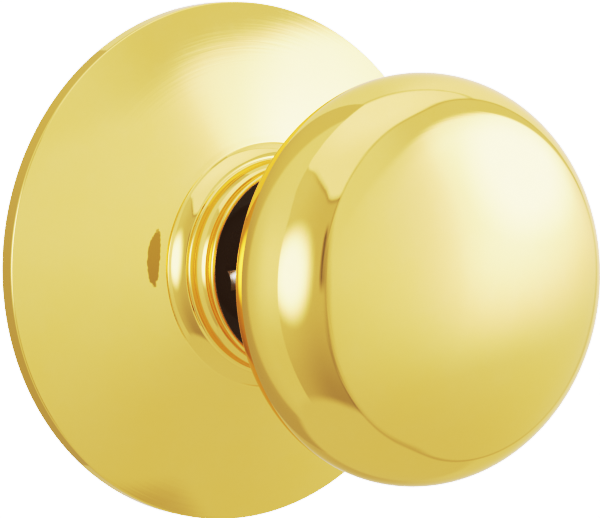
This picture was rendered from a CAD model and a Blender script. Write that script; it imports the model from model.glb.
"""Looks of the door knob: fine shells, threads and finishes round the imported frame, in a light tent.

Profiles are (radius, out) pairs in millimetres about the knob's axis, and out is the distance from
the door's face along -Y. Everything else is in metres, in the frame's own axes.
"""

from math import cos, degrees, pi, radians, sin, tan

import bmesh
import bpy
from mathutils import Matrix, Vector

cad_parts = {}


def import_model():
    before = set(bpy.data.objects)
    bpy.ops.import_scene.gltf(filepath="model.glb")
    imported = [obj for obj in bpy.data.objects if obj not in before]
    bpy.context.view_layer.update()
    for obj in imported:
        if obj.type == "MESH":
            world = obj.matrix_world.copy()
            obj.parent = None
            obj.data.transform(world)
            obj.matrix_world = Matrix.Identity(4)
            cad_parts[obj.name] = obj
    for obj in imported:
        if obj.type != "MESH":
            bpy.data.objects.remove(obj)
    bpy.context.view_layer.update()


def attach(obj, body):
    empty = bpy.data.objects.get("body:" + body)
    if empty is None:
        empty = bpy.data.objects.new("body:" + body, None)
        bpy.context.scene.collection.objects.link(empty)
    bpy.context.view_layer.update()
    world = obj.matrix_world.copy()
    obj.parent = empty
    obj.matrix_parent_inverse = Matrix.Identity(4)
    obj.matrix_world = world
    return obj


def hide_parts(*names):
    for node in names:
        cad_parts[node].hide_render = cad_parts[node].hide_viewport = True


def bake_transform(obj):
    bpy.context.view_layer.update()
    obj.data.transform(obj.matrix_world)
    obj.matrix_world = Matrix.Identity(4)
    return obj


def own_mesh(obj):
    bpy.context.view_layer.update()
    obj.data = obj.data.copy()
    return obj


MM = 0.001
GAP = 0.3  # millimetres between pieces that rest on each other
SHARP_DEGREES = 35  # edges sharper than this stay crisp, or are rounded by soften


# Profiles


def on_circle(radius, angle):
    """(x, z) on a circle about the knob's axis. The angle starts at the top and goes towards +X."""
    return radius * sin(angle), radius * cos(angle)


def arc(centre, radius, start, end, steps):
    """Profile points on an arc. The angle is that of the surface's normal from straight out."""
    angles = [start + (end - start) * i / steps for i in range(steps + 1)]
    return [(centre[0] + radius * sin(a), centre[1] + radius * cos(a)) for a in angles]


def traced(start, angle, bends, step=0.08):
    """Profile points from start inwards. Each bend is (the normal's angle at its end, its length).

    The normal's angle is in degrees from straight out, and changes evenly along each bend.
    """
    r, out = start
    points = [start]
    for end_angle, length in bends:
        count = max(3, round(length / step))
        for i in range(count):
            here = radians(angle + (end_angle - angle) * (i + 0.5) / count)
            r -= cos(here) * length / count
            out += sin(here) * length / count
            points.append((r, out))
        angle = end_angle
    return points


def inset(profile, depth):
    """The profile moved by depth to its inner side, which is on the right going inwards to outwards."""
    points = [Vector(p) for p in profile]
    moved = []
    for i, point in enumerate(points):
        before = (point - points[max(i - 1, 0)]).normalized()
        after = (points[min(i + 1, len(points) - 1)] - point).normalized()
        along = (before + after).normalized()
        stretch = max(along.dot(after), along.dot(before), 0.6)
        moved.append(tuple(point + Vector((along.y, -along.x)) * depth / stretch))
    return moved


# Meshes


def finished(name, bm, mat, sharp=SHARP_DEGREES):
    """A smooth-shaded object from bm, which it uses up."""
    bmesh.ops.recalc_face_normals(bm, faces=bm.faces)
    mesh = bpy.data.meshes.new(name)
    bm.to_mesh(mesh)
    bm.free()
    mesh.shade_smooth()
    mesh.set_sharp_from_angle(angle=radians(sharp))
    obj = bpy.data.objects.new(name, mesh)
    if mat:
        mesh.materials.append(mat)
    bpy.context.scene.collection.objects.link(obj)
    return obj


def even_shading(obj):
    """Large faces keep their own direction in the smooth shading."""
    modifier = obj.modifiers.new("Even shading", "WEIGHTED_NORMAL")
    modifier.keep_sharp = True
    modifier.weight = 80


def soften(obj, width, segments=3):
    """Rounds every sharp edge, by a width in millimetres."""
    modifier = obj.modifiers.new("Soft edges", "BEVEL")
    modifier.width = width * MM
    modifier.segments = segments
    modifier.limit_method = "ANGLE"
    modifier.angle_limit = radians(SHARP_DEGREES)
    modifier.miter_outer = "MITER_ARC"
    even_shading(obj)


def lathe(bm, rings, closed, whole):
    """Faces between neighbouring rings of vertices. A ring of one vertex is a point on the axis."""
    following = rings[1:] + rings[:1] if closed else rings[1:]
    count = max(len(ring) for ring in rings)
    for ring, after in zip(rings, following):
        for i in range(count if whole else count - 1):
            j = (i + 1) % count
            near = [ring[i % len(ring)], ring[j % len(ring)]]
            far = [after[j % len(after)], after[i % len(after)]]
            corners = list(dict.fromkeys(near + far))
            if len(corners) > 2:
                bm.faces.new(corners)
    if not whole:
        for i in (0, -1):
            bm.faces.new([ring[i] for ring in rings])


def turned(name, profile, mat, facets=192, centre=(0, 0), start=0.0, sweep=2 * pi):
    """A closed profile spun about an axis along Y through centre (x, z) in millimetres."""
    whole = sweep > 2 * pi - 1e-6
    count = facets if whole else facets + 1
    bm = bmesh.new()
    rings = []
    for radius, out in profile:
        angles = [start + sweep * i / facets for i in range(count)] if radius > 1e-6 else [0.0]
        rings.append([
            bm.verts.new((radius * sin(a) * MM, -out * MM, radius * cos(a) * MM)) for a in angles
        ])
    lathe(bm, rings, True, whole)
    obj = finished(name, bm, mat)
    obj.location = (centre[0] * MM, 0, centre[1] * MM)
    return obj


def rod(radius, rear, front, centre=(0, 0), facets=48):
    """A cylinder to combine with another piece."""
    outline = [(0, front), (radius, front), (radius, rear), (0, rear)]
    return turned("tool", outline, None, facets, centre)


def block(low, high, angle=0.0, corner=0.0, along=1, name="tool", mat=None, slot=None):
    """A box between two corners (x, out, z), turned about the knob's axis.

    Its four edges along one axis (0, 1 or 2) are rounded by corner millimetres.
    """
    bm = bmesh.new()
    bmesh.ops.create_cube(bm, size=1)
    if corner:
        size = [high[i] - low[i] for i in range(3)]
        bmesh.ops.scale(bm, vec=size, verts=bm.verts)
        edges = [e for e in bm.edges if abs(e.verts[0].co[along] - e.verts[1].co[along]) > 1e-6]
        bmesh.ops.bevel(bm, geom=edges, offset=corner, segments=6, profile=0.5, affect="EDGES")
        bmesh.ops.scale(bm, vec=[MM] * 3, verts=bm.verts)
    else:
        bmesh.ops.scale(bm, vec=[(high[i] - low[i]) * MM for i in range(3)], verts=bm.verts)
    middle = [(high[i] + low[i]) / 2 * MM for i in range(3)]
    bmesh.ops.translate(bm, vec=(middle[0], -middle[1], middle[2]), verts=bm.verts)
    bmesh.ops.rotate(bm, matrix=Matrix.Rotation(angle, 3, "Y"), verts=bm.verts)
    return finished(name, bm, mat)


def combine(piece, tools, operation):
    """Adds the tools to the piece or cuts them out of it, and uses them up."""
    for tool in tools:
        modifier = piece.modifiers.new(operation, "BOOLEAN")
        modifier.operation = operation
        modifier.object = tool
        modifier.solver = "EXACT"
    bpy.context.view_layer.update()
    graph = bpy.context.evaluated_depsgraph_get()
    mesh = bpy.data.meshes.new_from_object(piece.evaluated_get(graph))
    piece.modifiers.clear()
    piece.data = mesh
    mesh.shade_smooth()
    mesh.set_sharp_from_angle(angle=radians(SHARP_DEGREES))
    for tool in tools:
        bpy.data.objects.remove(tool)


def tube(name, path, radius, mat, sides=14):
    """Round wire through (x, out, z) points in millimetres, with rounded ends."""
    points = [Vector((x, -out, z)) for x, out, z in path]
    along = (points[1] - points[0]).normalized()
    side = along.orthogonal().normalized()
    bm = bmesh.new()
    rings = []

    def add_ring(centre, size):
        rings.append([
            bm.verts.new((centre + (side * cos(a) + along.cross(side) * sin(a)) * size) * MM)
            for a in [2 * pi * i / sides for i in range(sides)]
        ])

    def add_round_end(centre, ahead, tilts):
        for tilt in tilts:
            add_ring(centre + ahead * radius * sin(radians(tilt)), radius * cos(radians(tilt)))

    for i, point in enumerate(points):
        before, after = points[max(i - 1, 0)], points[min(i + 1, len(points) - 1)]
        along = (after - before).normalized()
        side = (side - along * side.dot(along)).normalized()
        if i == 0:
            add_round_end(point, -along, (80, 50, 25))
        add_ring(point, radius)
        if i == len(points) - 1:
            add_round_end(point, along, (25, 50, 80))
    lathe(bm, rings, False, True)
    bm.faces.new(rings[0])
    bm.faces.new(rings[-1])
    return finished(name, bm, mat, 60)


def place(piece, node, body):
    """The piece stands for the CAD node and moves with the body."""
    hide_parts(node)
    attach(piece, body)


# Node trees


class Field:
    """A number in a node tree. Arithmetic on it adds Math nodes."""

    def __init__(self, socket):
        self.socket = socket
        self.tree = socket.id_data

    def math(self, operation, *others):
        node = self.tree.nodes.new("ShaderNodeMath")
        node.operation = operation
        for slot, value in zip(node.inputs, (self, *others)):
            plug(slot, value)
        return Field(node.outputs[0])

    def __add__(self, other):
        return self.math("ADD", other)

    def __sub__(self, other):
        return self.math("SUBTRACT", other)

    def __rsub__(self, other):
        return self * -1 + other

    def __mul__(self, other):
        return self.math("MULTIPLY", other)

    __radd__ = __add__
    __rmul__ = __mul__

    def __truediv__(self, other):
        return self.math("DIVIDE", other)

    def __pow__(self, other):
        return self.math("POWER", other)

    def __abs__(self):
        return self.math("ABSOLUTE")

    def step(self, start, end):
        """0 at start and 1 at end, with a smooth rise between them. start may be above end."""
        node = self.tree.nodes.new("ShaderNodeMapRange")
        node.interpolation_type = "SMOOTHSTEP"
        plug(node.inputs["Value"], self)
        plug(node.inputs["From Min"], start)
        plug(node.inputs["From Max"], end)
        return Field(node.outputs["Result"])

    def within(self, low, high, soft):
        """1 between low and high, falling to 0 over soft on either side of each."""
        return self.step(low - soft, low + soft) * self.step(high + soft, high - soft)

    def curve(self, points, low, high):
        """Smooth curve through (input, output) points, whose outputs lie between low and high."""
        first, last = points[0][0], points[-1][0]
        node = self.tree.nodes.new("ShaderNodeFloatCurve")
        line = node.mapping.curves[0]
        shares = [((x - first) / (last - first), (y - low) / (high - low)) for x, y in points]
        line.points[0].location, line.points[-1].location = shares[0], shares[-1]
        for share in shares[1:-1]:
            line.points.new(*share)
        node.mapping.update()
        plug(node.inputs["Value"], (self - first) / (last - first))
        return Field(node.outputs["Value"]) * (high - low) + low

    def towards(self, other, share):
        """This number where share is 0, and other where it is 1."""
        return self + (other - self) * share


def plug(slot, value):
    """Sets the input to a number, or links it to a Field."""
    if isinstance(value, Field):
        slot.id_data.links.new(value.socket, slot)
    else:
        slot.default_value = value


def object_place(tree):
    """The surface's place in its object, as one socket."""
    return tree.nodes.new("ShaderNodeTexCoord").outputs["Object"]


def object_xyz(tree):
    """The surface's place in its object, in metres, as three Fields."""
    split = tree.nodes.new("ShaderNodeSeparateXYZ")
    tree.links.new(object_place(tree), split.inputs[0])
    return [Field(socket) for socket in split.outputs]


# The light tent


TENT_RADIUS = 0.18
TENT_CENTRE = (0, -0.045, 0)
BACKDROP_STRENGTH = 3.0  # of the white behind the object
FLOOR_RADIUS = 0.9
FLOOR_Z = -0.30


def directions(tree):
    """Azimuth and elevation in degrees, seen from the tent's centre. Azimuth 0 is -Y and 90 is +X."""
    x, y, z = object_xyz(tree)
    azimuth = x.math("ARCTAN2", y * -1) * degrees(1)
    elevation = (z / TENT_RADIUS).math("ARCSINE") * degrees(1)
    return azimuth, elevation


def oval(azimuth, elevation, shape, power):
    """1 on the edge of an oval, 0 in its middle and more outside. Higher powers are squarer."""
    centre, half = shape
    across = (abs(azimuth - centre[0]) / half[0]) ** power
    upwards = (abs(elevation - centre[1]) / half[1]) ** power
    return (across + upwards) ** (1 / power)


ROOF_EDGE = [  # azimuth and elevation of the seam between the ceiling and the walls
    (-180, 74), (-150, 74), (-125, 69), (-110, 60), (-101, 51), (-85, 50), (-70, 46), (-55, 40),
    (-43, 34), (-30, 34), (60, 50), (92, 52), (104, 60), (120, 68), (150, 73), (180, 73),
]
FRONT_WALL = (33, 0.5), (71, 65.5)  # of the ovals: centre and half size, in degrees
DRAPE = (33, 0), (70, 55.5)
LAMP_LEFT = (-76, 4), (20, 17.5)
LAMP_HIGH = (66, 30), (34, 20)
LAMP_RIGHT = [  # azimuth, and the brightness added along the front wall there
    (-20, 0.0), (0, 0.08), (12, 0.20), (24, 0.44), (36, 0.62), (48, 0.70), (66, 0.72), (84, 0.68),
    (110, 0.5),
]


def back_walls(azimuth, elevation):
    """Brightness of the walls left and right of the door."""
    far = azimuth.step(-112, -158)
    left = 0.43 + elevation.step(-40, 20) * 0.11
    left = left.towards(0.37 + elevation.step(-5, 50) * 0.16, far)
    left = left * (1 - azimuth.step(-136, -144) * 0.22)
    left = left + azimuth.within(-116, -60, 14) * elevation.within(-14, 20, 14) * 0.10
    right = 0.45 + elevation.step(-50, 12) * 0.24 - azimuth.step(115, 160) * 0.12
    return left.towards(right, azimuth.step(-1, 1))


def front_left_wall(azimuth, elevation):
    """Brightness of the narrow wall with the smaller lamp behind it."""
    wall = 0.25 + elevation.step(-52, 0) * 0.13 + azimuth.step(-45, -90) * 0.07
    lamp = oval(azimuth, elevation, LAMP_LEFT, 2).step(1.45, 0.35)
    return wall + lamp * 1.25


def front_wall(azimuth, elevation):
    """Brightness of the wide wall with the larger lamp behind it, and a drape round its top."""
    wall = 0.41 + elevation.step(-62, 12) * 0.18
    height = (elevation - (azimuth - 48) * 0.3).step(-30, 18)
    wall = wall + azimuth.curve(LAMP_RIGHT, 0, 1) * height
    wall = wall + oval(azimuth, elevation, LAMP_HIGH, 2.5).step(1.2, 0.5) * 0.6
    drape = oval(azimuth, elevation, DRAPE, 2)
    shade = elevation.step(0, 12) * (drape.step(0.84, 1.0) * 0.35 + drape.step(0.96, 1.01) * 0.65)
    return wall.towards(0.47 + azimuth.step(20, -20) * 0.07, shade)


def tent_light(tree):
    """Brightness of the tent's walls, ceiling and floor."""
    azimuth, elevation = directions(tree)
    light = back_walls(azimuth, elevation)
    left_edge = azimuth + elevation.step(25, 51) * 10
    in_wall = left_edge.step(-92.3, -90.7)
    light = light.towards(front_left_wall(azimuth, elevation), in_wall * azimuth.step(0, -10))
    ceiling = 0.68 + elevation.step(50, 80) * 0.12
    over = elevation - azimuth.curve(ROOF_EDGE, 0, 90)
    light = light.towards(ceiling, over.step(-0.8, 0.8))
    roof_seam = over.step(-3, 0) * over.step(3, 0) * azimuth.step(-102, -60)
    light = light * (1 - roof_seam * 0.25)
    light = light.towards(0.40, elevation.step(-50, -56))
    edge = oval(azimuth, elevation, FRONT_WALL, 3)
    light = light.towards(front_wall(azimuth, elevation), edge.step(1.008, 0.992))
    seam = edge.step(0.965, 1.0) * edge.step(1.03, 1.0)
    light = light * (1 - seam * 0.22)
    gap = azimuth.within(-42.3, -39.7, 1.8) * elevation.within(-2, 21, 4)
    return light * (1 - gap * 0.62)


def make_tent():
    """A small tent round the knob, which only the reflections and the light see."""
    bm = bmesh.new()
    bmesh.ops.create_uvsphere(bm, u_segments=96, v_segments=48, radius=TENT_RADIUS)
    bmesh.ops.reverse_faces(bm, faces=bm.faces)
    mesh = bpy.data.meshes.new("light_tent")
    bm.to_mesh(mesh)
    bm.free()
    tent = bpy.data.objects.new("light_tent", mesh)
    tent.location = TENT_CENTRE
    bpy.context.scene.collection.objects.link(tent)
    mat = bpy.data.materials.new("tent_light")
    mat.use_nodes = True
    tree = mat.node_tree
    tree.nodes.clear()
    glow = tree.nodes.new("ShaderNodeEmission")
    plug(glow.inputs["Strength"], tent_light(tree))
    output = tree.nodes.new("ShaderNodeOutputMaterial")
    tree.links.new(glow.outputs[0], output.inputs["Surface"])
    mesh.materials.append(mat)
    tent.visible_camera = False


def make_world():
    """White behind the object, and an even pale light elsewhere."""
    world = bpy.data.worlds.new("studio")
    world.use_nodes = True
    tree = world.node_tree
    backdrop = tree.nodes["Background"]
    camera_ray = Field(tree.nodes.new("ShaderNodeLightPath").outputs["Is Camera Ray"])
    plug(backdrop.inputs["Strength"], 1.0 + camera_ray * (BACKDROP_STRENGTH - 1.0))
    backdrop.inputs["Color"].default_value = (1, 1, 1, 1)
    bpy.context.scene.world = world


def make_floor():
    """A pale disc below the tent, which only the camera sees."""
    bm = bmesh.new()
    bmesh.ops.create_circle(bm, cap_ends=True, segments=128, radius=FLOOR_RADIUS)
    floor = finished("floor", bm, plain("floor_paint", (0.9, 0.9, 0.89), 0.6))
    floor.location = (0, 0, FLOOR_Z)
    floor.visible_glossy = False
    floor.visible_diffuse = False
    floor.visible_shadow = False


def plain(name, colour, roughness):
    """A material of one colour and roughness."""
    mat = bpy.data.materials.new(name)
    mat.use_nodes = True
    shader = mat.node_tree.nodes["Principled BSDF"]
    shader.inputs["Base Color"].default_value = (*colour, 1)
    shader.inputs["Roughness"].default_value = roughness
    return mat


# Camera and tone


CAMERA_AT = (-0.25672, -0.38907, 0.03170)
CAMERA_AZIMUTH = radians(-34.680)  # of the way back from the view, from -Y towards +X
CAMERA_ELEVATION = radians(3.8675)
CAMERA_LENS = 198.1
BRIGHTEST = 3.0  # light that the tone curve ends at
TONE_CURVE = [  # light, and how bright the picture shows it
    (0.045, 0.016), (0.10, 0.065), (0.15, 0.19), (0.20, 0.34), (0.285, 0.54), (0.373, 0.662),
    (0.478, 0.745), (0.582, 0.812), (0.70, 0.868), (0.85, 0.902), (1.1, 0.924), (1.5, 0.944),
    (2.2, 0.962), (2.8, 0.99),
]
BLACK_LEVELS = (0.050, 0.030, 0.018)  # of red, green and blue, before the tone curve


def make_camera():
    """A long lens, to the left of the knob and slightly above it."""
    a, e = CAMERA_AZIMUTH, CAMERA_ELEVATION
    forwards = -Vector((sin(a) * cos(e), -cos(a) * cos(e), sin(e)))
    data = bpy.data.cameras.new("camera")
    data.lens = CAMERA_LENS
    data.sensor_width = 36
    data.clip_start = 0.01
    camera = bpy.data.objects.new("camera", data)
    camera.location = CAMERA_AT
    camera.rotation_mode = "QUATERNION"
    camera.rotation_quaternion = forwards.to_track_quat("-Z", "Y")
    bpy.context.scene.collection.objects.link(camera)
    bpy.context.scene.camera = camera


def set_tone():
    """The strong tone curve of a catalogue picture: deep shadows and soft highlights."""
    view = bpy.context.scene.view_settings
    view.view_transform = "Standard"
    view.look = "None"
    view.use_curve_mapping = True
    mapping = view.curve_mapping
    mapping.clip_max_x = BRIGHTEST
    mapping.clip_max_y = 1.1
    tone = mapping.curves[3]
    tone.points[-1].location = (BRIGHTEST, 1.005)
    for x, y in TONE_CURVE:
        tone.points.new(x, y)
    for curve, level in zip(mapping.curves, BLACK_LEVELS):
        curve.points[0].location = (0.0, level)
        curve.points[-1].location = (BRIGHTEST, BRIGHTEST)
        curve.points.new(0.15, 0.15)
        curve.points.new(1.0, 1.0)
        for point in curve.points:
            point.handle_type = "VECTOR"
    mapping.update()


# Finishes


def noise(tree, place, size, detail=3.0):
    """Noise around 0.5 with features of the given size in millimetres."""
    node = tree.nodes.new("ShaderNodeTexNoise")
    tree.links.new(place, node.inputs["Vector"])
    node.inputs["Scale"].default_value = 1 / (size * MM)
    node.inputs["Detail"].default_value = detail
    return Field(node.outputs[0])


def ring_place(tree, stretch):
    """Coordinates that change across rings round the piece's axis, and slowly along them."""
    x, y, z = object_xyz(tree)
    radius = (x * x + z * z) ** 0.5
    join = tree.nodes.new("ShaderNodeCombineXYZ")
    plug(join.inputs[0], radius + y * 0.7)
    plug(join.inputs[1], x / stretch)
    plug(join.inputs[2], z / stretch)
    return join.outputs[0]


def finish(name, metallic, colours, roughness, patches, grain, slope, rings=0.0):
    """A surface whose colour and roughness change in patches, with a fine grain in its relief.

    Sizes are in millimetres. slope is the grain's steepness. With rings above 0, the grain runs
    round the piece's axis and is that many times as long as it is wide.
    """
    mat = plain(name, colours[0], roughness[0])
    tree = mat.node_tree
    shader = tree.nodes["Principled BSDF"]
    shader.inputs["Metallic"].default_value = metallic
    patch = noise(tree, object_place(tree), patches, 5.0).step(0.3, 0.7)
    speck = noise(tree, object_place(tree), patches / 9, 3.0).step(0.45, 0.75)
    mix = tree.nodes.new("ShaderNodeMix")
    mix.data_type = "RGBA"
    mix.inputs["A"].default_value = (*colours[0], 1)
    mix.inputs["B"].default_value = (*colours[1], 1)
    plug(mix.inputs["Factor"], patch * 0.75 + speck * 0.25)
    tree.links.new(mix.outputs["Result"], shader.inputs["Base Color"])
    low, high = roughness
    plug(shader.inputs["Roughness"], (patch * 0.5 + speck * 0.5) * (high - low) + low)
    grain_place = ring_place(tree, rings) if rings else object_place(tree)
    bump = tree.nodes.new("ShaderNodeBump")
    bump.inputs["Strength"].default_value = 1.0
    bump.inputs["Distance"].default_value = slope * grain * MM
    plug(bump.inputs["Height"], noise(tree, grain_place, grain, 2.0))
    tree.links.new(bump.outputs[0], shader.inputs["Normal"])
    return mat


FINISHES = {  # metallic, two colours, roughness, size of patches and of grain, slope, rings
    "polished_brass": (
        1.0, ((0.93, 0.655, 0.27), (0.93, 0.665, 0.29)), (0.035, 0.06), 14.0, 0.5, 0.004, 30.0,
    ),
    "raw_brass": (1.0, ((0.62, 0.38, 0.18), (0.72, 0.47, 0.22)), (0.32, 0.5), 5.0, 0.2, 0.08),
    "zinc_plated_steel": (1.0, ((0.55, 0.57, 0.60), (0.68, 0.69, 0.68)), (0.22, 0.42), 6.0, 0.25, 0.05),
    "bright_steel": (1.0, ((0.68, 0.67, 0.65), (0.76, 0.75, 0.73)), (0.14, 0.28), 2.5, 0.12, 0.05, 12.0),
    "spring_steel": (1.0, ((0.26, 0.27, 0.31), (0.38, 0.38, 0.40)), (0.25, 0.42), 3.0, 0.15, 0.06),
    "cast_zinc": (1.0, ((0.40, 0.41, 0.43), (0.50, 0.51, 0.53)), (0.42, 0.62), 4.0, 0.18, 0.25),
    "black_nylon": (0.0, ((0.022, 0.022, 0.026), (0.038, 0.038, 0.042)), (0.38, 0.6), 5.0, 0.2, 0.12),
}
BRASS_EDGE_TINT = (0.95, 0.88, 0.75, 1)  # of reflections that graze the brass
TARNISH_COLOUR = (0.46, 0.31, 0.10, 1)
MARK_R, MARK_Z = 18.85, 1.5  # middle of the tarnished spot on the rose's -X side, in millimetres
MARK_WIDTH, MARK_HEIGHT = 1.55, 7.4


def add_tarnish(tree):
    """Darkens a narrow spot with ragged edges on the rose's cone, beside the collar."""
    x, y, z = (field / MM for field in object_xyz(tree))
    across = ((x * x + z * z) ** 0.5 - MARK_R) / (MARK_WIDTH / 2)
    along = (z - MARK_Z) / (MARK_HEIGHT / 2)
    ragged = noise(tree, object_place(tree), 0.7) - 0.5
    away = across * across + along * along + ragged * 0.9
    on_the_rose = x.step(-12, -13) * y.step(-13, -12.5)
    colour = tree.nodes["Principled BSDF"].inputs["Base Color"]
    mix = tree.nodes.new("ShaderNodeMix")
    mix.data_type = "RGBA"
    tree.links.new(colour.links[0].from_socket, mix.inputs["A"])
    mix.inputs["B"].default_value = TARNISH_COLOUR
    plug(mix.inputs["Factor"], away.step(1.15, 0.9) * on_the_rose)
    tree.links.new(mix.outputs["Result"], colour)


def make_finishes():
    """Each finish by its slot in the record, and the raw brass inside the rose."""
    mats = {slot: finish(slot, *facts) for slot, facts in FINISHES.items()}
    brass = mats["polished_brass"].node_tree
    brass.nodes["Principled BSDF"].inputs["Specular Tint"].default_value = BRASS_EDGE_TINT
    add_tarnish(brass)
    return mats


# The knob


KNOB_R = 27.0
KNOB_WIDEST_OUT = 45.5
SHOULDER_R = 11.5
BACK_EDGE_R = 9.0
DOME_ANGLE = radians(35.6)
SEAM_ANGLE = radians(150)
SEAM_WIDTH = 0.8
SHELL_SHEET = 0.9
HOLLOW_R = 7.0  # of the curve between the back's slope and the neck
NECK_R = 10.5
NECK_REAR_OUT = 21.5
NECK_EDGE = 0.6
BRASS_FACETS = 256
SHANK_R = 8.0
SHANK_WALL = 1.1


def face_profile():
    """Outer surface of the knob from the middle of its face round to the seam."""
    shoulder_centre = (KNOB_R - SHOULDER_R, KNOB_WIDEST_OUT)
    back_centre = (KNOB_R - BACK_EDGE_R, KNOB_WIDEST_OUT)
    shoulder = arc(shoulder_centre, SHOULDER_R, DOME_ANGLE, pi / 2, 36)
    dome_r = shoulder[0][0] / sin(DOME_ANGLE)
    dome_centre = (0, shoulder[0][1] - dome_r * cos(DOME_ANGLE))
    dome = arc(dome_centre, dome_r, 0, DOME_ANGLE, 40)
    back = arc(back_centre, BACK_EDGE_R, pi / 2, SEAM_ANGLE, 24)
    return dome[:-1] + shoulder[:-1] + back


def back_profile():
    """Outer surface behind the seam: a slope, a hollow curve and the straight neck."""
    seam = face_profile()[-1]
    slope = pi - SEAM_ANGLE
    start = (seam[0] - SEAM_WIDTH * cos(slope), seam[1] - SEAM_WIDTH * sin(slope))
    centre_r = NECK_R + HOLLOW_R
    end_r = centre_r - HOLLOW_R * sin(slope)
    end_out = start[1] - (start[0] - end_r) * tan(slope)
    centre_out = end_out - HOLLOW_R * cos(slope)
    hollow = arc((centre_r, centre_out), HOLLOW_R, -slope, -pi / 2, 16)
    return [start, *hollow, (NECK_R, NECK_REAR_OUT + NECK_EDGE), (NECK_R - NECK_EDGE, NECK_REAR_OUT)]


def make_face_shell(brass):
    """The domed face with its shoulder, as a drawn cup."""
    outer = face_profile()
    inner = inset(outer, SHELL_SHEET)
    inner[0] = (0, outer[0][1] - SHELL_SHEET)
    shell = turned("knob_face", outer + inner[::-1], brass, BRASS_FACETS)
    even_shading(shell)
    place(shell, "knob_face_shell", "knob")


def make_back_shell(brass):
    """The back with its neck, and a flange tucked in under the face shell."""
    flange_centre, flange_r = (KNOB_R - BACK_EDGE_R, KNOB_WIDEST_OUT), BACK_EDGE_R - SHELL_SHEET - GAP
    tucked = arc(flange_centre, flange_r, radians(130), SEAM_ANGLE + radians(3), 8)
    outer = tucked + back_profile()
    inner = inset(outer, SHELL_SHEET)[:-1]
    rolled_in = [(SHANK_R + GAP, NECK_REAR_OUT), (SHANK_R + GAP, NECK_REAR_OUT + SHELL_SHEET)]
    inner[-1] = (NECK_R - SHELL_SHEET, NECK_REAR_OUT + SHELL_SHEET)
    shell = turned("knob_back", outer + rolled_in + inner[::-1], brass, BRASS_FACETS)
    even_shading(shell)
    place(shell, "knob_back_shell", "knob")


def make_core(zinc):
    """Die-cast core that joins both shells to the shank."""
    backing = inset(back_profile()[4:18], SHELL_SHEET + GAP)
    bore = SHANK_R + GAP
    rear = NECK_REAR_OUT + SHELL_SHEET + GAP
    neck_r = NECK_R - SHELL_SHEET - GAP
    front = backing[0][1] + 1.5
    outline = [(bore, front + 1.5), (backing[0][0] - 2.5, front + 1.5), (backing[0][0], front)]
    outline += [*backing, (neck_r, rear), (bore, rear)]
    core = turned("core", outline, zinc)
    soften(core, 0.25)
    place(core, "knob_core", "knob")


# The rose


ROSE_R = 36.5
ROSE_RIM_OUT = 2.6
ROSE_SHEET = 0.9
ROSE_EDGE_R = 0.3
CONE_FOOT = (18.06, 10.625)  # where the straight cone ends, before the collar
CONE_SLOPE = 23.7  # degrees
COLLAR_BENDS = [
    (24.6, 0.3), (24.6, 0.65), (14, 0.12), (62, 0.15),  # cone and foot
    (41, 1.55), (33, 0.85), (18, 0.3),  # rear roll
    (88, 0.55), (88, 0.85),  # riser
    (66, 0.85), (46, 0.85),  # front roll
    (95, 0.1), (92, 1.3), (0, 0.6), (-80, 0.5),  # crease and lip
]
COLLAR_BORE_R = 13.6  # the inner face stops short of the turned-in lip
COLLAR_INNER_OUT = 15.6


def rose_profile():
    """Outer surface from the turned-in lip over the collar's two rolls and down the cone to the rim."""
    collar = traced(CONE_FOOT, CONE_SLOPE, COLLAR_BENDS)
    cone_end = (ROSE_R - 0.75, ROSE_RIM_OUT + 0.2)
    edge_centre = (ROSE_R - ROSE_EDGE_R, ROSE_RIM_OUT - 0.325)
    rim = arc(edge_centre, ROSE_EDGE_R, radians(CONE_SLOPE), radians(90), 8)
    return [*collar[::-1], cone_end, *rim, (ROSE_R, 0)]


def make_rose(brass, raw_brass):
    """The conical cover, polished outside and raw inside."""
    outer = rose_profile()
    inner = inset(outer, ROSE_SHEET)
    inner = [(r, out) for r, out in inner if out < COLLAR_INNER_OUT and r > COLLAR_BORE_R]
    inner[-1] = (ROSE_R - ROSE_SHEET, 0)
    rose = turned("rose_cover", outer + inner[::-1], brass, BRASS_FACETS)
    rose.data.materials.append(raw_brass)
    for face in rose.data.polygons[(len(outer) - 1) * BRASS_FACETS:]:
        face.material_index = 1
    even_shading(rose)
    place(rose, "rose", "mounting")


# The shank, its catch and the drive to the latch


SLEEVE_R = 6.6
SLEEVE_BORE_R = 5.3
SLEEVE_REAR_OUT = -15.2
CATCH_OUT = 13.7
CATCH_ANGLE = radians(11.5)  # below the -X side, seen from the knob
CATCH_TIP_R = 8.7
CATCH_HALF = 1.4
CATCH_FOOT_HALF = 2.1
CATCH_FOOT_R = 3.6
RAMP_ANGLE = radians(43)  # of the ramp's normal, from straight out
RAMP_R = 3.2
RAMP_CUT = 1.0  # depth of the ramp below the corner that it takes off
SPINDLE_SIDE = 6.8
SEAT_SIDE = 6.0
SPINDLE_FRONT_OUT = 9.5
SPINDLE_REAR_OUT = -45.0


def make_shank(steel):
    """Tube from the knob into the bushing, with the catch's slot and an inward key opposite."""
    front, rear = 37.0, 4.0
    bore = SHANK_R - SHANK_WALL
    outline = [(SHANK_R, front), (SHANK_R, rear), (bore, rear), (bore, front)]
    shank = turned("shank", outline, steel)
    slot_low = (-SHANK_R - 2, CATCH_OUT - 2.3, -1.8)
    slot_high = (-SLEEVE_BORE_R + 1, CATCH_OUT + 2.3, 1.8)
    slot = block(slot_low, slot_high, -CATCH_ANGLE, 0.5, 0)
    key = block((SLEEVE_BORE_R + 0.4, 16.0, -1.0), (bore + 0.5, 19.0, 1.0))
    combine(shank, [slot], "DIFFERENCE")
    combine(shank, [key], "UNION")
    soften(shank, 0.15)
    place(shank, "knob_shank", "knob")


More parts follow.
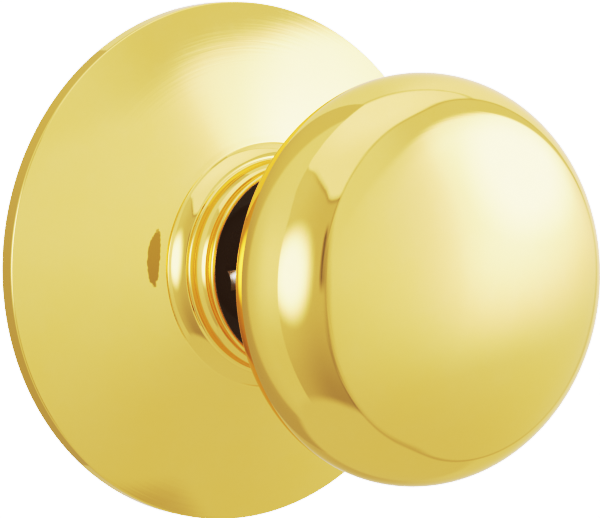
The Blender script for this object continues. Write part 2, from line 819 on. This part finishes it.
def make_sleeve(steel):
    """Sleeve under the shank, with the catch's hole, a square bore behind and a round one in front."""
    front, groove_r = 20.0, 6.0
    outline = [
        (0, front), (SLEEVE_R, front), (SLEEVE_R, -12.3), (groove_r, -12.3), (groove_r, -13.5),
        (SLEEVE_R, -13.5), (SLEEVE_R, SLEEVE_REAR_OUT), (0, SLEEVE_REAR_OUT),
    ]
    sleeve = turned("sleeve", outline, steel, 128)
    half, bore_rear = SEAT_SIDE / 2 + GAP, SPINDLE_FRONT_OUT + 1
    cutters = [
        block((-half, SLEEVE_REAR_OUT - 2, -half), (half, bore_rear + 1, half)),
        rod(SLEEVE_BORE_R, bore_rear, front + 2, facets=96),
        block((-SLEEVE_R - 2, CATCH_OUT - 1.7, -1.7), (-2, CATCH_OUT + 1.7, 1.7), -CATCH_ANGLE),
        block((2, 15.5, -1.4), (SLEEVE_R + 2, front + 2, 1.4)),
    ]
    combine(sleeve, cutters, "DIFFERENCE")
    soften(sleeve, 0.12)
    place(sleeve, "drive_sleeve", "knob")


def make_catch(steel):
    """A square nose with a rounded ramp for the shank, on the foot that keeps it in the sleeve."""
    half, foot_half = CATCH_HALF, CATCH_FOOT_HALF
    nose = (-CATCH_TIP_R, CATCH_OUT - half, -half), (-4.2, CATCH_OUT + half, half)
    catch = block(*nose, 0.0, 0.35, 0, "catch_nose", steel, "bright_steel")
    foot_low = (-CATCH_FOOT_R - 1.0, CATCH_OUT - foot_half, -foot_half)
    foot = block(foot_low, (-CATCH_FOOT_R, CATCH_OUT + foot_half, foot_half))
    combine(catch, [foot], "UNION")
    ramp = rod(RAMP_R, -8, 8, facets=96)
    ramp.data.transform(Matrix.Translation(((RAMP_CUT + RAMP_R) * MM, 0, 0)))
    ramp.data.transform(Matrix.Rotation(pi / 2 - RAMP_ANGLE, 4, "Z"))
    ramp.data.transform(Matrix.Translation(Vector((-CATCH_TIP_R, -CATCH_OUT - half, 0)) * MM))
    combine(catch, [ramp], "INTERSECT")
    catch.data.transform(Matrix.Rotation(-CATCH_ANGLE, 4, "Y"))
    soften(catch, 0.12)
    place(catch, "knob_catch", "catch")


def make_catch_spring(spring_steel):
    """Compression spring between the catch's foot and the sleeve's far wall."""
    coil_r, wire_r, turns, steps = 1.5, 0.22, 5, 24
    near, far = -CATCH_FOOT_R + GAP + wire_r, SLEEVE_BORE_R - GAP - wire_r - 0.2
    path = []
    for i in range(turns * steps + 1):
        share = i / (turns * steps)
        closer_ends = share - sin(2 * pi * share) * 0.06
        x = near + (far - near) * closer_ends
        angle = 2 * pi * turns * share
        path.append((x, CATCH_OUT + coil_r * cos(angle), coil_r * sin(angle)))
    spring = tube("catch_coil", path, wire_r, spring_steel, 10)
    turn = Matrix.Rotation(-CATCH_ANGLE, 4, "Y")
    spring.data.transform(turn)
    place(spring, "catch_spring", "knob")
    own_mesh(spring)


def square_bar(side, rear, front, **named):
    """A square bar on the knob's axis, with rounded edges."""
    half = side / 2
    return block((-half, rear, -half), (half, front, half), 0.0, 0.5, 1, **named)


def make_spindle(steel):
    """Square bar with a narrower seat in the sleeve."""
    shoulder = SLEEVE_REAR_OUT - GAP
    named = {"name": "spindle_bar", "mat": steel, "slot": "zinc_plated_steel"}
    bar = square_bar(SPINDLE_SIDE, SPINDLE_REAR_OUT, shoulder, **named)
    combine(bar, [square_bar(SEAT_SIDE, shoulder - 3, SPINDLE_FRONT_OUT)], "UNION")
    soften(bar, 0.2)
    place(bar, "spindle", "knob")


def make_hub(zinc):
    """Hub on the sleeve, whose finger reaches between the ends of the return spring."""
    bore, front, rear = SLEEVE_R + GAP, 0.7, -10.3
    body_r, flange_r = 8.8, 12.5
    outline = [
        (body_r, front), (body_r, rear + 1), (flange_r, rear + 1), (flange_r, rear), (bore, rear),
        (bore, front),
    ]
    hub = turned("hub", outline, zinc, 128)
    finger = block((-1.5, rear + 0.2, 11.5), (1.5, front - 0.4, 12.7), corner=0.3)
    combine(hub, [finger], "UNION")
    soften(hub, 0.2)
    place(hub, "drive_hub", "knob")


def make_retaining_ring(spring_steel):
    """Open ring in the sleeve's groove."""
    front, rear, inner, outer = -12.5, -13.3, 6.3, 8.8
    outline = [(outer, front), (outer, rear), (inner, rear), (inner, front)]
    start, sweep = radians(30), radians(300)
    ring = turned("snap_ring", outline, spring_steel, 160, (0, 0), start, sweep)
    eyes = [on_circle(8.1, angle) for angle in (start + radians(5), start - radians(65))]
    combine(ring, [rod(0.6, rear - 1, front + 1, eye, 24) for eye in eyes], "DIFFERENCE")
    soften(ring, 0.1)
    place(ring, "retaining_ring", "knob")


# The cage that holds the return spring


CAGE_R = 15.3
CAGE_FRONT_OUT = 4.6
CAGE_REAR_OUT = -12.9
CAGE_NECK_R = 12.0
CAGE_NECK_OUT = 8.0
PLATE_TOP_OUT = 3.1
CLIP_RIVET_R = 29.8  # from the knob's axis
SCREW_SPACING = 41.3
SCREW_SEAT_OUT = PLATE_TOP_OUT + GAP
SCREW_HEAD_HEIGHT = 2.4
SCREW_TIP_OUT = -43.0
THREAD_FRONT_OUT = -6.0
THREAD_R = 2.0
THREAD_ROOT_R = 1.58
THREAD_PITCH = 0.8


def cage_rivet_places():
    """(x, z) of the four rivets in the cage's ears."""
    return [(x * 18.6, z * 5.2) for x in (-1, 1) for z in (1, -1)]


def make_cage(steel):
    """Pressed cup with a neck for the bushing, two riveted ears, a spring tab and two stops."""
    bore, neck_bore, lip_r = CAGE_R - 0.8, CAGE_NECK_R - 1.2, CAGE_R - 1.9
    cavity = CAGE_FRONT_OUT - 1.2
    outline = [
        (neck_bore, CAGE_NECK_OUT), (CAGE_NECK_R, CAGE_NECK_OUT), (CAGE_NECK_R, CAGE_FRONT_OUT + 0.8),
        (CAGE_NECK_R + 0.3, CAGE_FRONT_OUT + 0.2), (CAGE_NECK_R + 0.8, CAGE_FRONT_OUT),
        (CAGE_R - 0.6, CAGE_FRONT_OUT), (CAGE_R - 0.15, CAGE_FRONT_OUT - 0.15),
        (CAGE_R, CAGE_FRONT_OUT - 0.6), (CAGE_R, CAGE_REAR_OUT + 0.3), (CAGE_R - 0.3, CAGE_REAR_OUT),
        (lip_r, CAGE_REAR_OUT), (lip_r, CAGE_REAR_OUT + 0.6), (bore, CAGE_REAR_OUT + 0.6),
        (bore, cavity), (neck_bore, cavity),
    ]
    cage = turned("cage", outline, steel)
    ears = []
    for near, far in ((-21.0, -14.8), (14.8, 21.0)):
        low, high = (near, PLATE_TOP_OUT + GAP, -9), (far, CAGE_FRONT_OUT, 9)
        ears.append(block(low, high, corner=2.2))
    tab = block((-1.5, -9.5, 13.1), (1.5, -0.3, 14.9))
    stops = [block((-0.8, -6.2, 11.7), (0.8, -3.8, 14.9), side * radians(67)) for side in (-1, 1)]
    combine(cage, [*ears, tab, *stops], "UNION")
    combine(cage, [rod(1.5, 2, 6, spot, 32) for spot in cage_rivet_places()], "DIFFERENCE")
    soften(cage, 0.12)
    place(cage, "spring_cage", "mounting")


def make_wavy(ring):
    """Bends a flat ring into three waves."""
    for vert in ring.data.vertices:
        swing = Vector((vert.co.x, vert.co.z)).angle_signed(Vector((0, 1)), 0)
        vert.co.y += 0.3 * MM * sin(3 * swing)


def make_rings(steel, nylon, spring_steel):
    """The cage's cover, the bushing and the two washers."""
    rear = CAGE_REAR_OUT + 0.6 + GAP
    inner = SLEEVE_R + 0.4
    cover = [
        (14.2, rear + 0.9), (13.9, rear + 1.2), (inner + 0.2, rear + 1.2), (inner, rear + 1.0),
        (inner, rear), (14.2, rear),
    ]
    bore, body_r, flange = SHANK_R + GAP, CAGE_NECK_R - 1.2 - GAP, CAGE_NECK_OUT + GAP
    bushing = [
        (bore + 0.4, flange + 0.8), (CAGE_NECK_R - 0.3, flange + 0.8), (CAGE_NECK_R, flange + 0.5),
        (CAGE_NECK_R, flange), (body_r, flange), (body_r, 4.4), (body_r - 0.4, 4.0), (bore, 4.0),
        (bore, flange + 0.4),
    ]
    washer = [(10.2, 1.8), (10.2, 1.0), (inner, 1.0), (inner, 1.8)]
    wave = [(10.2, 2.7), (10.2, 2.3), (inner, 2.3), (inner, 2.7)]
    pieces = [
        ("cover", cover, steel, "zinc_plated_steel", "cage_cover"),
        ("bushing", bushing, nylon, "black_nylon", "shank_bushing"),
        ("nylon_washer", washer, nylon, "black_nylon", "thrust_washer"),
        ("wave_ring", wave, spring_steel, "spring_steel", "wave_washer"),
    ]
    for name, outline, mat, slot, node in pieces:
        ring = turned(name, outline, mat, 144)
        if node == "wave_washer":
            make_wavy(ring)
        soften(ring, 0.08, 2)
        place(ring, node, "mounting")


def make_return_spring(spring_steel):
    """Torsion spring, whose ends turn outwards beside the finger and the tab. It twists with the hub."""
    turns, steps, mean_r, end_r, wire_r = 4, 72, 10.3, 13.5, 0.8
    end_angle, front, rear = radians(12), -0.4, -7.8
    start, finish = end_angle, -2 * pi * turns - end_angle
    stations = [(mean_r, i / (turns * steps)) for i in range(turns * steps + 1)]
    bend = [(end_r, 0), (mean_r + 1.6, 0.0), (mean_r + 0.8, 0.0005), (mean_r + 0.25, 0.0025)]
    stations = bend + stations[2:-2] + [(radius, 1 - share) for radius, share in bend[::-1]]
    path = []
    for radius, share in stations:
        x, z = on_circle(radius, start + (finish - start) * share)
        path.append((x, front + (rear - front) * share, z))
    spring = tube("return_coil", path, wire_r, spring_steel)
    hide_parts("return_spring")
    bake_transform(spring)


# The mounting plate, its clips, rivets and screws


CLIP_ANGLES = [radians(a) for a in (60, 180, 300)]


def clip_rivet_places():
    """(x, z) of the three clips' rivets."""
    return [on_circle(CLIP_RIVET_R, angle) for angle in CLIP_ANGLES]


def make_plate(steel):
    """Dished plate: its rim lies on the door, and its middle stands off for the rivets' tails."""
    hole_r, top = CAGE_R + GAP, PLATE_TOP_OUT
    outline = [
        (hole_r, top), (25.0, top), (25.5, top - 0.2), (26.3, 1.8), (26.9, 1.5), (33, 1.5),
        (33, 0), (27.2, 0), (26.9, 0.15), (26.2, 1.4), (25.8, 1.6), (hole_r, 1.6),
    ]
    plate = turned("plate", outline, steel)
    holes = [(0, side * SCREW_SPACING / 2, 2.5) for side in (1, -1)]
    holes += [(x, z, 1.5) for x, z in cage_rivet_places()]
    holes += [(*spot, 1.3) for spot in clip_rivet_places()]
    combine(plate, [rod(radius, -2, 6, (x, z)) for x, z, radius in holes], "DIFFERENCE")
    soften(plate, 0.15)
    place(plate, "mounting_plate", "mounting")


def make_clips(spring_steel):
    """Bent clips, each with its foot on the plate and its leg against the inside of the rose's rim."""
    width = 8
    outline = [
        (27.4, 1.8), (27.4, 2.3), (33.3, 2.3), (33.8, 2.25), (34.2, 2.05), (34.42, 1.8), (34.6, 1.5),
        (35.1, 0.8), (34.7, 0.7), (34.25, 1.25), (33.95, 1.62), (33.6, 1.8),
    ]
    for i, angle in enumerate(CLIP_ANGLES):
        bm = bmesh.new()
        side = bm.faces.new([bm.verts.new((-width / 2 * MM, -out * MM, r * MM)) for r, out in outline])
        grown = bmesh.ops.extrude_face_region(bm, geom=[side])["geom"]
        moved = [g for g in grown if isinstance(g, bmesh.types.BMVert)]
        bmesh.ops.translate(bm, vec=(width * MM, 0, 0), verts=moved)
        bmesh.ops.rotate(bm, matrix=Matrix.Rotation(angle, 3, "Y"), verts=bm.verts)
        clip = finished(f"clip_{i + 1}", bm, spring_steel)
        combine(clip, [rod(1.3, 0, 4, on_circle(CLIP_RIVET_R, angle))], "DIFFERENCE")
        soften(clip, 0.06, 2)
        place(clip, f"rose_clip_{i + 1}", "mounting")


def make_rivet(name, node, centre, head, shaft_r, tail, mat):
    """Domed rivet. head is (radius, rear, height), and tail is (radius, rear, front) or None."""
    head_r, head_rear, height = head
    brim = 0.3
    angles = [pi / 16 * i for i in range(9)]
    dome = [(head_r * sin(a), head_rear + brim + (height - brim) * cos(a)) for a in angles]
    shaft = [(head_r, head_rear), (shaft_r, head_rear)]
    if tail:
        tail_r, rear, front = tail
        shaft += [(shaft_r, front), (tail_r, front)]
        shaft += [(tail_r, rear + 0.2), (tail_r * 0.7, rear), (0, rear)]
    else:
        shaft += [(shaft_r, 0.2), (0, 0.2)]
    rivet = turned(name, dome + shaft, mat, 48, centre)
    soften(rivet, 0.06, 2)
    place(rivet, node, "mounting")


def make_rivets(steel):
    """The rivets of the cage's ears, with upset tails, and those of the clips."""
    kinds = [
        ("cage", cage_rivet_places(), (2.2, 4.9, 1.0), 1.2, (1.9, 0.5, 1.3)),
        ("clip", clip_rivet_places(), (1.7, 2.6, 0.7), 1.0, None),
    ]
    for kind, spots, head, shaft_r, tail in kinds:
        for i, spot in enumerate(spots, 1):
            make_rivet(f"{kind}_stud_{i}", f"{kind}_rivet_{i}", spot, head, shaft_r, tail, steel)


def screw_outline():
    """(radius, out, the thread's depth as a share) from the head's top to the tip."""
    seat, tip = SCREW_SEAT_OUT, SCREW_TIP_OUT
    top = seat + SCREW_HEAD_HEIGHT
    head = [
        (0, top), (1.2, top - 0.04), (2.2, top - 0.2), (3.0, top - 0.55), (3.45, top - 1.05),
        (3.6, top - 1.6), (3.6, seat + 0.1), (3.5, seat), (1.85, seat),
    ]
    rows = [(radius, out, 0.0) for radius, out in head]
    count = int((THREAD_FRONT_OUT - tip) / THREAD_PITCH * 8)
    for i in range(count + 1):
        out = THREAD_FRONT_OUT + (tip - THREAD_FRONT_OUT) * i / count
        rows.append((THREAD_ROOT_R, out, min(1.0, i / 10) * min(1.0, (out - tip) / 0.8)))
    return [*rows, (0, tip, 0.0)]


def make_screw(name, node, centre, steel):
    """Pan-head screw with a cross recess and a rolled thread."""
    facets = 32
    bm = bmesh.new()
    rings = []
    for radius, out, depth in screw_outline():
        ring = []
        for i in range(facets if radius else 1):
            phase = (out / THREAD_PITCH + i / facets) % 1.0
            ridge = max(0.0, 1 - abs(phase - 0.5) * 2.6) * (THREAD_R - THREAD_ROOT_R) * depth
            x, z = on_circle(radius + ridge, 2 * pi * i / facets)
            ring.append(bm.verts.new((x * MM, -out * MM, z * MM)))
        rings.append(ring)
    lathe(bm, rings, False, True)
    screw = finished(name, bm, steel, 50)
    x, z = centre
    screw.location = (x * MM, 0, z * MM)
    top = SCREW_SEAT_OUT + SCREW_HEAD_HEIGHT
    arms = []
    for half_x, half_z in ((1.9, 0.35), (0.35, 1.9)):
        low, high = (x - half_x, top - 1.3, z - half_z), (x + half_x, top + 1, z + half_z)
        arms.append(block(low, high, corner=0.15))
    combine(screw, arms, "DIFFERENCE")
    place(screw, node, "mounting")


def main():
    """Builds the studio and every piece."""
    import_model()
    make_camera()
    set_tone()
    make_world()
    make_tent()
    make_floor()
    mats = make_finishes()
    brass, zinc, steel = mats["polished_brass"], mats["cast_zinc"], mats["zinc_plated_steel"]
    bright, springy, nylon = mats["bright_steel"], mats["spring_steel"], mats["black_nylon"]
    make_face_shell(brass)
    make_back_shell(brass)
    make_core(zinc)
    make_shank(steel)
    make_sleeve(steel)
    make_catch(bright)
    make_catch_spring(springy)
    make_spindle(steel)
    make_hub(zinc)
    make_retaining_ring(springy)
    make_cage(steel)
    make_rings(steel, nylon, springy)
    make_return_spring(springy)
    make_plate(steel)
    make_clips(springy)
    make_rivets(bright)
    make_screw("screw_top", "through_screw_top", (0, SCREW_SPACING / 2), bright)
    make_screw("screw_bottom", "through_screw_bottom", (0, -SCREW_SPACING / 2), bright)
    make_rose(brass, mats["raw_brass"])


main()
